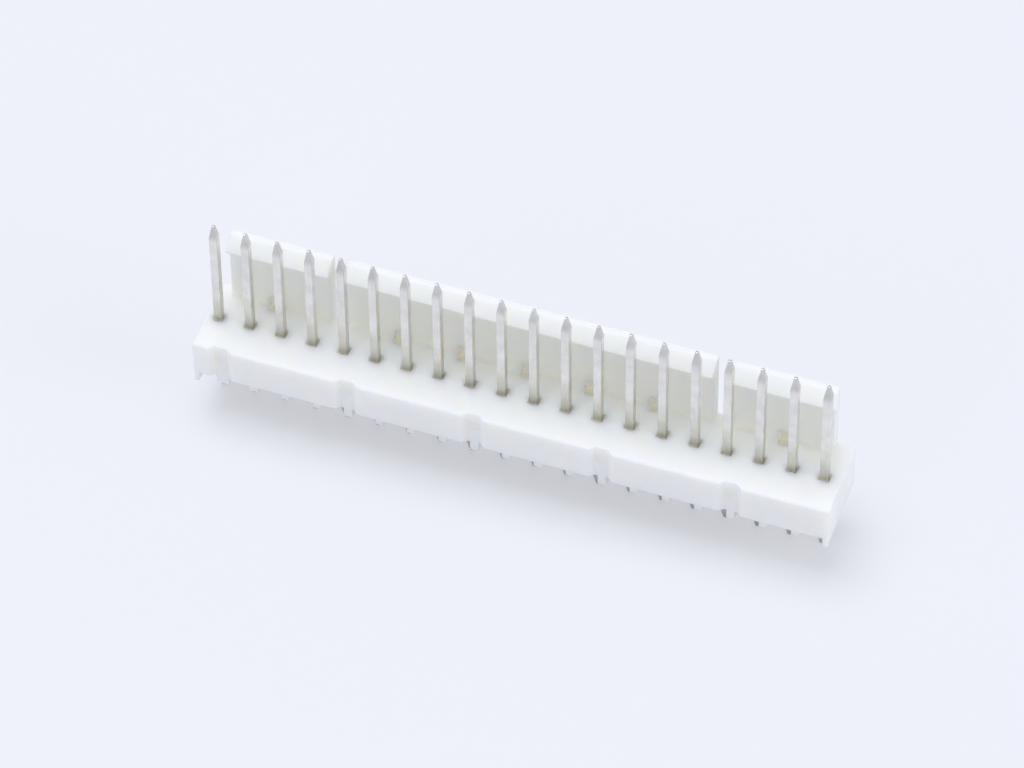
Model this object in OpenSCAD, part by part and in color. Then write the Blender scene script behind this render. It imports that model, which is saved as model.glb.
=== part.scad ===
// Upright pin header strip with a friction lock, in millimetres.
// The board face is z = 0, the pins stand along X at y = 0, and the lock wall
// stands at the back, towards +Y. One moulded housing carries the square pins.

/* [Pins] */
// Distance between the centres of neighbouring pins
pitch = 2.54; // [2.4:0.02:3]
// Width of the square pin wire
pin_w = 0.64; // [0.5:0.02:0.76]
// Length of a pin above the top of the base
mating_len = 10.16; // [8:0.08:13]
// Length of a solder tail below the board face
tail_len = 3.56; // [2.5:0.02:5]
// Length of the tapered point on each end of a pin
point_len = 1.2; // [0.6:0.1:1.8]
// Width of the flat that ends the taper
point_flat = 0.22; // [0.1:0.02:0.4]

/* [Base] */
// Height of the moulded base without its standoffs
base_h = 3.18; // [2.6:0.02:4.2]
// Distance from the pin row to the front face
base_front = 3.25; // [2.9:0.05:4]
// Distance from the pin row to the back face
base_back = 3.45; // [3.3:0.05:4.2]
// Distance from the centre of the first pin to the left end of the base
left_margin = 0.94; // [0.9:0.02:1.5]
// Distance from the centre of the last pin to the right end of the base
right_margin = 1.34; // [0.9:0.02:1.5]
// Radius of the long top edges of the base
edge_r = 0.22; // [0.1:0.02:0.3]
// Gap between a pin and each side of the hole that grips it
pin_gap = 0.01; // [0:0.01:0.04]
// Gap between a pin and the side of the pocket round its foot
pocket_gap = 0.1; // [0.05:0.01:0.24]
// Depth of the pocket round the foot of a pin
pocket_depth = 0.25; // [0.15:0.05:0.6]

/* [Lock wall] */
// Height of the lock wall above the top of the base
wall_h = 6.45; // [5:0.05:9]
// Thickness of the lock wall
wall_t = 1; // [0.8:0.05:1.2]
// Distance from each end of the wall to the centre of the end pin beside it
wall_inset = 0.1; // [0:0.05:0.6]
// Width of each slit that parts the wall
slit_w = 1.2; // [0.8:0.05:1.4]
// Reach of the lock ramp in front of the wall
ramp_reach = 0.75; // [0.4:0.05:0.85]
// Height of the slope on top of the ramp
ramp_h = 0.8; // [0.5:0.05:1.4]
// Height of the upright land on the nose of the ramp
nose_h = 0.25; // [0.15:0.05:0.5]
// Height of the slope under the nose
catch_h = 0.7; // [0.4:0.05:1.2]
// Width of the flat on top of the wall
crest_w = 0.7; // [0.4:0.05:0.75]
// Radius of the fillet along the foot of the wall
foot_r = 0.4; // [0.2:0.05:0.5]

/* [Foot notches] */
// Width of each notch at the foot of the wall
notch_w = 1.1; // [0.8:0.05:1.6]
// Reach of a notch in front of the wall
notch_front = 0.55; // [0.3:0.05:0.7]
// Depth of a notch into the wall
notch_back = 0.35; // [0.2:0.05:0.6]
// Height of a notch above the top of the base
notch_rise = 0.8; // [0.3:0.05:1.4]
// Depth of a notch below the top of the base
notch_drop = 0.45; // [0.2:0.05:1]

/* [Front grooves] */
// Width of a front groove at its mouth
groove_w = 1.8; // [1.5:0.05:2.2]
// Width of the floor of a front groove
groove_floor = 1; // [0.9:0.05:1.4]
// Depth of a front groove
groove_depth = 0.35; // [0.2:0.05:0.6]
// Diameter of the round mark in each groove
mark_d = 0.7; // [0.4:0.05:0.8]
// Depth of the round mark
mark_depth = 0.05; // [0.04:0.01:0.15]

/* [Standoffs] */
// Height of the standoff ribs under the base
standoff_h = 0.9; // [0.4:0.05:1.4]
// Width of a standoff rib
standoff_w = 0.64; // [0.4:0.02:0.9]
// Width of the first standoff rib on the left
first_rib_w = 1; // [0.6:0.05:1.2]
// Distance from the back face of the base to the end of a rib
standoff_setback = 0.15; // [0.05:0.05:0.5]
// Width of the narrow rib at each end of the base
end_rib_w = 0.4; // [0.3:0.02:0.6]

/* [Hidden] */
pin_count = 20;
// The wall is slit beyond these pins
slit_gaps = [4, 16];
// Gaps between pins, numbered from the left
groove_gaps = [for (gap = [1:4:pin_count - 1]) gap];
notch_gaps = [for (gap = [2:2:pin_count - 1]) if (len(search(gap, slit_gaps)) == 0) gap];
base_top = standoff_h + base_h;
wall_top = base_top + wall_h;
wall_front = base_back - wall_t;
nose_y = wall_front - ramp_reach;
nose_top = wall_top - ramp_h;
nose_bottom = nose_top - nose_h;
row_end = (pin_count - 1) * pitch / 2;
left_end = -row_end - left_margin;
right_end = row_end + right_margin;
wall_end = row_end - wall_inset;
nose_r = nose_h / 3;
crest_r = crest_w / 4;
mark_drop = base_h * 0.4;
hole_w = pin_w + 2 * pin_gap;
pocket_w = pin_w + 2 * pocket_gap;
// Overlap of bodies that are joined, and reach of cuts past a face
lap = 0.5;
arc_steps = 6;

PIN_NODES = [for (pin = [1:pin_count]) str("pin_", pin < 10 ? "0" : "", pin)];

// Place of a pin, and of the middle of the gap to its right
function pin_x(pin) = (pin - (pin_count + 1) / 2) * pitch;
function gap_x(gap) = pin_x(gap) + pitch / 2;

// Points of an arc from one angle to another, ends included
function arc(centre, radius, from, to) =
    [for (step = [0:arc_steps])
        let (turn = from + (to - from) * step / arc_steps)
        centre + radius * [cos(turn), sin(turn)]];

// Sweeps a Y-Z outline along the strip
module along_strip(left, right) {
    translate([left, 0, 0])
        rotate([90, 0, 90])
            linear_extrude(right - left) children();
}

// Section of the base, its two long top edges rounded
module base_section() {
    polygon(concat(
        [[-base_front, standoff_h], [base_back, standoff_h]],
        arc([base_back - edge_r, base_top - edge_r], edge_r, 0, 90),
        arc([-base_front + edge_r, base_top - edge_r], edge_r, 90, 180)));
}

// Section of the wall: a fillet at the foot, the catch, the nose, the slope and the crest
module wall_section() {
    polygon(concat(
        [[base_back, base_top - lap]],
        arc([base_back - crest_r, wall_top - crest_r], crest_r, 0, 90),
        [[base_back - crest_w, wall_top]],
        arc([nose_y + nose_r, nose_top - nose_r], nose_r, 120, 180),
        arc([nose_y + nose_r, nose_bottom + nose_r], nose_r, 180, 230),
        [[wall_front, nose_bottom - catch_h]],
        arc([wall_front - foot_r, base_top + foot_r], foot_r, 0, -90),
        [[wall_front - foot_r, base_top - lap]]));
}

// The lock wall, parted by its slits
module lock_wall() {
    starts = concat([-wall_end], [for (gap = slit_gaps) gap_x(gap) + slit_w / 2]);
    ends = concat([for (gap = slit_gaps) gap_x(gap) - slit_w / 2], [wall_end]);
    for (part = [0:len(starts) - 1])
        along_strip(starts[part], ends[part]) wall_section();
}

// One rib of the underside, from a front plane to the back setback
module rib(left, width, front) {
    translate([left, front, 0])
        cube([width, base_back - standoff_setback - front, standoff_h + lap]);
}

// Ribs that hold the base off the board: one between each pair of pins, level with
// the floors of the grooves, and one at each end, flush with the front face
module standoffs() {
    for (gap = [1:pin_count - 1]) {
        width = gap == 1 ? first_rib_w : standoff_w;
        rib(gap_x(gap) - width / 2, width, -base_front + groove_depth);
    }
    for (left = [left_end, right_end - end_rib_w])
        rib(left, end_rib_w, -base_front);
}

// A tapered groove down the front face, with the round mark in its floor
module front_groove() {
    translate([0, 0, standoff_h - lap])
        linear_extrude(base_h + 2 * lap)
            polygon([
                [-groove_w / 2, -base_front],
                [-groove_w / 2, -base_front - lap],
                [groove_w / 2, -base_front - lap],
                [groove_w / 2, -base_front],
                [groove_floor / 2, -base_front + groove_depth],
                [-groove_floor / 2, -base_front + groove_depth]]);
    translate([0, -base_front + groove_depth - lap, base_top - mark_drop])
        rotate([-90, 0, 0])
            cylinder(h = lap + mark_depth, d = mark_d, $fn = 48);
}

// A notch at the foot of the wall, cut into the wall and into the base in front of it
module foot_notch() {
    translate([-notch_w / 2, wall_front - notch_front, base_top - notch_drop])
        cube([notch_w, notch_front + notch_back, notch_drop + notch_rise]);
}

// The square hole that grips a pin, and the pocket round its foot
module pin_seat() {
    translate([-hole_w / 2, -hole_w / 2, -lap])
        cube([hole_w, hole_w, base_top + 2 * lap]);
    translate([-pocket_w / 2, -pocket_w / 2, base_top - pocket_depth])
        cube([pocket_w, pocket_w, pocket_depth + lap]);
}

// The moulded housing
module housing() {
    color([0.93, 0.93, 0.91])
        difference() {
            union() {
                along_strip(left_end, right_end) base_section();
                lock_wall();
                standoffs();
            }
            for (pin = [1:pin_count])
                translate([pin_x(pin), 0, 0]) pin_seat();
            for (gap = groove_gaps)
                translate([gap_x(gap), 0, 0]) front_groove();
            for (gap = notch_gaps)
                translate([gap_x(gap), 0, 0]) foot_notch();
        }
}

// Outline of a pin from the side, tapered at both ends
module pin_outline() {
    half = pin_w / 2;
    tip = point_flat / 2;
    top = base_top + mating_len;
    polygon([
        [-tip, -tail_len], [tip, -tail_len],
        [half, -tail_len + point_len], [half, top - point_len],
        [tip, top], [-tip, top],
        [-half, top - point_len], [-half, -tail_len + point_len]]);
}

// One square pin, pointed on all four sides: its outline crossed with itself
module contact_pin(pin) {
    color([0.75, 0.75, 0.72])
        translate([pin_x(pin), 0, 0])
            intersection() {
                rotate([90, 0, 0])
                    linear_extrude(pin_w, center = true) pin_outline();
                rotate([90, 0, 90])
                    linear_extrude(pin_w, center = true) pin_outline();
            }
}

housing();
for (pin = [1:pin_count])
    contact_pin(pin);
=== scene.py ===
# %% [markdown]
# A pin header strip is the plug half of a small connector that is soldered to a circuit board.
# Its shape comes ready from the imported CAD model: one moulded housing and twenty square pins.
# We load that model first, and measure the boxes of its parts where a size is needed.

# %% Load the strip
import math
import bmesh
import bpy
from mathutils import Matrix, Vector


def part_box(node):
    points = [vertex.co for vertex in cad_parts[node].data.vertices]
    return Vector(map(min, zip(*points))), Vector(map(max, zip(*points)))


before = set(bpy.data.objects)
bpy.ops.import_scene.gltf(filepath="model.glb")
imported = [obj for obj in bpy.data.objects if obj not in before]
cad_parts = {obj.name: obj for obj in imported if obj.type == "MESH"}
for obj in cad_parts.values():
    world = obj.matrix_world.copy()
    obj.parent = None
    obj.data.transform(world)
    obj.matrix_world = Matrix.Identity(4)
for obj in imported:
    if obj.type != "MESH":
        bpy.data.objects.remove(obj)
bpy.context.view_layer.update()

MM = 0.001
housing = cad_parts["housing"]
pin_names = sorted(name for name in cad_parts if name.startswith("pin_"))
pins = [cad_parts[name] for name in pin_names]
scene = bpy.context.scene
print("one housing and", len(pins), "pins")

# %% [markdown]
# The strip is photographed from far away with a long lens, so its edges stay almost parallel.
# A camera is only a place and three directions: what it looks along, what is right and what is up.
# Azimuth turns it round the strip, elevation lifts it, and a trace of roll tips the horizon.
# We build the three directions by hand, because a tracking constraint can't hold the roll.

# %% Place the camera
AZIMUTH, ELEVATION, ROLL = (math.radians(turn) for turn in (20.07, 48.83, -0.62))
BASE_TOP = 4.08 * MM
AIM = Vector((0, 0, BASE_TOP))
DISTANCE = 457.78 * MM
SLIDE_RIGHT, SLIDE_DOWN = 0.481 * MM, -0.863 * MM
SENSOR_WIDTH, FOCAL_LENGTH = 36, 214.3
NEAREST_SEEN = 20 * MM

forward = Vector((-math.sin(AZIMUTH) * math.cos(ELEVATION),
                  math.cos(AZIMUTH) * math.cos(ELEVATION),
                  -math.sin(ELEVATION)))
level_right = Vector((math.cos(AZIMUTH), math.sin(AZIMUTH), 0))
level_up = level_right.cross(forward)
right = math.cos(ROLL) * level_right + math.sin(ROLL) * level_up
up = right.cross(forward)

camera_data = bpy.data.cameras.new("camera")
camera_data.sensor_fit = "HORIZONTAL"
camera_data.sensor_width = SENSOR_WIDTH
camera_data.lens = FOCAL_LENGTH
camera_data.clip_start = NEAREST_SEEN
camera = bpy.data.objects.new("camera", camera_data)
scene.collection.objects.link(camera)
eye = AIM - DISTANCE * forward - SLIDE_RIGHT * right - SLIDE_DOWN * up
camera.matrix_world = Matrix.Translation(eye) @ Matrix((right, up, -forward)).transposed().to_4x4()
scene.camera = camera
print("camera at", [round(value / MM, 1) for value in eye], "mm")

# %% [markdown]
# The strip stands on the tips of its solder tails, on a wide sheet of pale, slightly glossy card.
# One flat face is enough for card, so we make a grid of a single wide square.
# The shadow on it comes out deeper than in the photo. The Light Path node can thin it:
# for camera and mirror rays we mix the lit card with a plain glow of its own colour,
# so the shadow stays but loses part of its depth, and the metal pins still see a pale ground.
# That is a device and not how card works, and the share of the glow was found by trial.

# %% Lay the card
def link_mesh(name, shape):
    mesh = bpy.data.meshes.new(name)
    shape.to_mesh(mesh)
    shape.free()
    piece = bpy.data.objects.new(name, mesh)
    scene.collection.objects.link(piece)
    return piece


def new_material(name):
    material = bpy.data.materials.new(name)
    material.use_nodes = True
    nodes = material.node_tree.nodes
    return material, nodes, material.node_tree.links, nodes["Principled BSDF"]


TAIL_TIP = min(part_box(name)[0][2] for name in pin_names)
CARD_HALF_WIDTH = 3
CARD = (0.855, 0.861, 0.905, 1)
GLOW_SHARE = 0.42

card_shape = bmesh.new()
bmesh.ops.create_grid(card_shape, x_segments=1, y_segments=1, size=CARD_HALF_WIDTH)
bmesh.ops.translate(card_shape, verts=card_shape.verts, vec=(0, 0, TAIL_TIP))
card = link_mesh("card", card_shape)

card_finish, nodes, links, shader = new_material("pale_card")
shader.inputs["Base Color"].default_value = CARD
shader.inputs["Roughness"].default_value = 0.22
shader.inputs["Specular IOR Level"].default_value = 0.35
glow = nodes.new("ShaderNodeEmission")
glow.inputs["Color"].default_value = CARD
glow.inputs["Strength"].default_value = 1
ray = nodes.new("ShaderNodeLightPath")
seen = nodes.new("ShaderNodeMath")
seen.operation = "MAXIMUM"
links.new(ray.outputs["Is Camera Ray"], seen.inputs[0])
links.new(ray.outputs["Is Glossy Ray"], seen.inputs[1])
share = nodes.new("ShaderNodeMath")
share.operation = "MULTIPLY"
share.inputs[1].default_value = GLOW_SHARE
links.new(seen.outputs["Value"], share.inputs[0])
card_mix = nodes.new("ShaderNodeMixShader")
links.new(share.outputs["Value"], card_mix.inputs["Fac"])
links.new(shader.outputs["BSDF"], card_mix.inputs[1])
links.new(glow.outputs["Emission"], card_mix.inputs[2])
links.new(card_mix.outputs["Shader"], nodes["Material Output"].inputs["Surface"])
card.data.materials.append(card_finish)
print("card at", round(TAIL_TIP / MM, 2), "mm")

# %% [markdown]
# White plastic on white card needs very soft light, or its faces burn out.
# Most of it comes from the room, which is the world background here.
# A soft panel above, a little behind and to the left, throws the shadow forward and leaves the
# wall under its ramp in shade. A weaker one on the right keeps the end face brighter than the
# front, and one in front lifts the shaded wall. All of it is faintly cool, like daylight.
# The card is glossy, so the two low panels are kept out of its reflections.
# Places and strengths were found by trial, by comparing the picture with the photo.

# %% Light the scene
DAYLIGHT = (0.958, 0.98, 1.04)
ROOM_STRENGTH = 0.58

world = bpy.data.worlds.new("room")
scene.world = world
world.use_nodes = True
room = world.node_tree.nodes["Background"]
room.inputs["Color"].default_value = (*DAYLIGHT, 1)
room.inputs["Strength"].default_value = ROOM_STRENGTH


def soft_panel(name, place, size, power):
    lamp = bpy.data.lights.new(name, "AREA")
    lamp.shape = "RECTANGLE"
    lamp.size, lamp.size_y = size
    lamp.energy = power
    lamp.color = DAYLIGHT
    panel = bpy.data.objects.new(name, lamp)
    scene.collection.objects.link(panel)
    panel.location = place
    panel.rotation_euler = (-Vector(place)).to_track_quat("-Z", "Y").to_euler()
    return panel


soft_panel("top_panel", (-0.2, 0.07, 0.87), (0.6, 0.6), 3.65)
right_panel = soft_panel("right_panel", (0.8, -0.05, 0.3), (0.5, 0.5), 1.85)
front_panel = soft_panel("front_panel", (-0.4, -0.75, 0.25), (0.6, 0.6), 0.85)
for low_panel in (right_panel, front_panel):
    low_panel.visible_glossy = False
scene.view_settings.view_transform = "Standard"
print("room and three soft panels lit")

# %% [markdown]
# A moulded edge is never a knife edge, because the cutter that made the tool had a radius.
# The CAD solids have the large radii but sharp small corners, and a sharp corner catches no light.
# A Bevel modifier rounds them without changing the mesh. The CAD mesh is loose triangles,
# so a Weld modifier joins them first, and the bevel only takes edges above an angle.

# %% Soften the corners
WELD_REACH = 0.0005 * MM
ROUND_STEPS = 2
HOUSING_ROUND, HOUSING_ANGLE = 0.06 * MM, 35
PIN_ROUND, PIN_ANGLE = 0.05 * MM, 5


def soften(piece, radius, angle):
    weld = piece.modifiers.new("join_triangles", "WELD")
    weld.merge_threshold = WELD_REACH
    bevel = piece.modifiers.new("soft_corners", "BEVEL")
    bevel.width = radius
    bevel.segments = ROUND_STEPS
    bevel.limit_method = "ANGLE"
    bevel.angle_limit = math.radians(angle)
    bevel.use_clamp_overlap = True
    bevel.harden_normals = False


soften(housing, HOUSING_ROUND, HOUSING_ANGLE)
for pin in pins:
    soften(pin, PIN_ROUND, PIN_ANGLE)
print("corners rounded on", 1 + len(pins), "pieces")

# %% [markdown]
# Both finishes are built from the same few steps, so we write each step once as a function.
# A noise makes the unevenness, a range turns it into gloss, and a bump tips the surface with it.
# A ramp turns a number into a colour, and two colours are laid over each other by multiplying.
# The Mix node has sockets for numbers, vectors and colours, so its colour sockets are known by number.

# %% Write the shared steps
FIRST_COLOUR, SECOND_COLOUR, COLOUR_RESULT = 6, 7, 2


def add_noise(nodes, links, place, scale, detail):
    noise = nodes.new("ShaderNodeTexNoise")
    noise.inputs["Scale"].default_value = scale
    noise.inputs["Detail"].default_value = detail
    links.new(place, noise.inputs["Vector"])
    return noise.outputs["Fac"]


def vary_gloss(nodes, links, shader, noise, smoothest, roughest):
    gloss = nodes.new("ShaderNodeMapRange")
    gloss.inputs["To Min"].default_value = smoothest
    gloss.inputs["To Max"].default_value = roughest
    links.new(noise, gloss.inputs["Value"])
    links.new(gloss.outputs["Result"], shader.inputs["Roughness"])


def add_relief(nodes, links, shader, noise, strength, depth):
    relief = nodes.new("ShaderNodeBump")
    relief.inputs["Strength"].default_value = strength
    relief.inputs["Distance"].default_value = depth
    links.new(noise, relief.inputs["Height"])
    links.new(relief.outputs["Normal"], shader.inputs["Normal"])


def multiply_colours(nodes, links, first, second):
    product = nodes.new("ShaderNodeMix")
    product.data_type = "RGBA"
    product.blend_type = "MULTIPLY"
    product.inputs[0].default_value = 1
    links.new(first, product.inputs[FIRST_COLOUR])
    links.new(second, product.inputs[SECOND_COLOUR])
    return product.outputs[COLOUR_RESULT]


def colour_ramp(nodes, stops):
    ramp = nodes.new("ShaderNodeValToRGB")
    (first, first_colour), *between, (last, last_colour) = stops
    ends = ramp.color_ramp.elements
    ends[0].position, ends[0].color = first, (*first_colour, 1)
    ends[1].position, ends[1].color = last, (*last_colour, 1)
    for position, colour in between:
        ends.new(position).color = (*colour, 1)
    return ramp


def dress(pieces, finish):
    for piece in pieces:
        piece.data.materials.clear()
        piece.data.materials.append(finish)


print("shared steps ready")

# %% [markdown]
# The housing looks like natural nylon or polyester, an ivory white that lets some light in.
# Light that enters comes out a little way off and a little warmer, so thin places and deep
# recesses look creamy. Subsurface scattering does that, with red travelling furthest.
# The deep corners are painted a warmer ochre as painted shade: an Ambient Occlusion node, which
# measures how closed in a point is, turns this painted shade from ochre in corners to white in the
# open.
# It also lets light travel further there, so that a notch or a pocket doesn't go too dark. Both are
# devices found by trial.
# The skin is given a fine grain: a small noise tips it, and a broad one varies its gloss.

# %% Finish the housing
CORNER_DISTANCE, CORNER_SAMPLES = 4 * MM, 8
CLOSED_IN, OPEN = 0.1, 0.45
REACH_CLOSED_IN, REACH_OPEN = 4 * MM, 1.2 * MM
CLOUD_STOPS = ((0.3, (0.985, 0.985, 0.985)), (0.7, (1, 1, 1)))
# Painted shade: the ochre stops colour closed-in corners, the pale ones the open surface.
CORNER_SHADE_STOPS = ((0.1, (0.97, 0.92, 0.80)),
              (0.35, (0.925, 0.93, 0.87)),
              (0.65, (0.912, 0.922, 0.875)),
              (0.9, (0.918, 0.922, 0.912)))

ivory, nodes, links, shader = new_material("ivory_moulding")
place = nodes.new("ShaderNodeTexCoord").outputs["Object"]

flow = add_noise(nodes, links, place, scale=160, detail=3)
clouds = colour_ramp(nodes, CLOUD_STOPS)
links.new(flow, clouds.inputs["Fac"])
corner = nodes.new("ShaderNodeAmbientOcclusion")
corner.inputs["Distance"].default_value = CORNER_DISTANCE
corner.samples = CORNER_SAMPLES
# The painted corner shade, chosen by how closed in each point is.
corner_shade = colour_ramp(nodes, CORNER_SHADE_STOPS)
links.new(corner.outputs["AO"], corner_shade.inputs["Fac"])
links.new(multiply_colours(nodes, links, clouds.outputs["Color"], corner_shade.outputs["Color"]),
          shader.inputs["Base Color"])

skin = add_noise(nodes, links, place, scale=9000, detail=2)
add_relief(nodes, links, shader, skin, strength=0.12, depth=0.02 * MM)
vary_gloss(nodes, links, shader, flow, smoothest=0.50, roughest=0.60)

shader.inputs["Subsurface Weight"].default_value = 1
shader.inputs["Subsurface Radius"].default_value = (1.0, 0.88, 0.62)
reach = nodes.new("ShaderNodeMapRange")
reach.inputs["From Min"].default_value = CLOSED_IN
reach.inputs["From Max"].default_value = OPEN
reach.inputs["To Min"].default_value = REACH_CLOSED_IN
reach.inputs["To Max"].default_value = REACH_OPEN
links.new(corner.outputs["AO"], reach.inputs["Value"])
links.new(reach.outputs["Result"], shader.inputs["Subsurface Scale"])
shader.inputs["Specular IOR Level"].default_value = 0.33
dress([housing], ivory)
print("housing finished in", ivory.name)

# %% [markdown]
# The pins look like square wire plated with tin, which is a soft, greyish, warm metal.
# Drawing leaves lines along a wire, so the noise is squeezed across it and stretched along it.
# The same lines drive the roughness and a very small bump. A ramp along the height of the pin
# paints light and shade into its colour: painted shade on the tail under the base, painted light
# inside its pocket, or the narrow gap round it would turn black, painted shade on the stretch just
# above the base, where it mirrors the shaded pocket, and painted shade on the points, which mirror
# darker surroundings. The stops of the ramp were found by trial.

# %% Finish the pins
PIN_BOTTOM, PIN_TOP = (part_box(pin_names[0])[end][2] for end in (0, 1))
ALONG_WIRE = (1, 1, 0.03)
TONE_STOPS = ((0.3, (0.74, 0.732, 0.705)), (0.7, (0.85, 0.842, 0.815)))
# Painted light and shade along the pin: darker tail, brighter in the pocket, darker foot and points.
PIN_LIGHT_AND_SHADE_STOPS = ((PIN_BOTTOM, (0.5, 0.5, 0.5)),
              (PIN_BOTTOM + 1.2 * MM, (0.72, 0.72, 0.72)),
              (BASE_TOP - 3 * MM, (0.72, 0.72, 0.72)),
              (BASE_TOP - 0.1 * MM, (1, 1, 0.96)),
              (BASE_TOP + 0.1 * MM, (0.68, 0.66, 0.58)),
              (BASE_TOP + 1 * MM, (0.82, 0.82, 0.76)),
              (BASE_TOP + 3.5 * MM, (1, 1, 0.99)),
              (PIN_TOP - 1.5 * MM, (1, 1, 1)),
              (PIN_TOP - 0.9 * MM, (0.77, 0.77, 0.77)),
              (PIN_TOP, (0.86, 0.86, 0.86)))


def share_of_pin(level):
    return (level - PIN_BOTTOM) / (PIN_TOP - PIN_BOTTOM)


tin, nodes, links, shader = new_material("tin_plate")
place = nodes.new("ShaderNodeTexCoord").outputs["Object"]
along = nodes.new("ShaderNodeMapping")
along.inputs["Scale"].default_value = ALONG_WIRE
links.new(place, along.inputs["Vector"])
lines = add_noise(nodes, links, along.outputs["Vector"], scale=7000, detail=3)

tone = colour_ramp(nodes, TONE_STOPS)
links.new(add_noise(nodes, links, place, scale=900, detail=2), tone.inputs["Fac"])

height = nodes.new("ShaderNodeSeparateXYZ")
links.new(place, height.inputs["Vector"])
along_pin = nodes.new("ShaderNodeMapRange")
along_pin.inputs["From Min"].default_value = PIN_BOTTOM
along_pin.inputs["From Max"].default_value = PIN_TOP
links.new(height.outputs["Z"], along_pin.inputs["Value"])
# The painted light and shade ramp, read along the height of the pin.
pin_light_and_shade = colour_ramp(nodes, [(share_of_pin(level), colour) for level, colour in PIN_LIGHT_AND_SHADE_STOPS])
links.new(along_pin.outputs["Result"], pin_light_and_shade.inputs["Fac"])
links.new(multiply_colours(nodes, links, tone.outputs["Color"], pin_light_and_shade.outputs["Color"]),
          shader.inputs["Base Color"])

vary_gloss(nodes, links, shader, lines, smoothest=0.22, roughest=0.36)
add_relief(nodes, links, shader, lines, strength=0.1, depth=0.005 * MM)
shader.inputs["Metallic"].default_value = 1
dress(pins, tin)
print(len(pins), "pins finished in", tin.name)
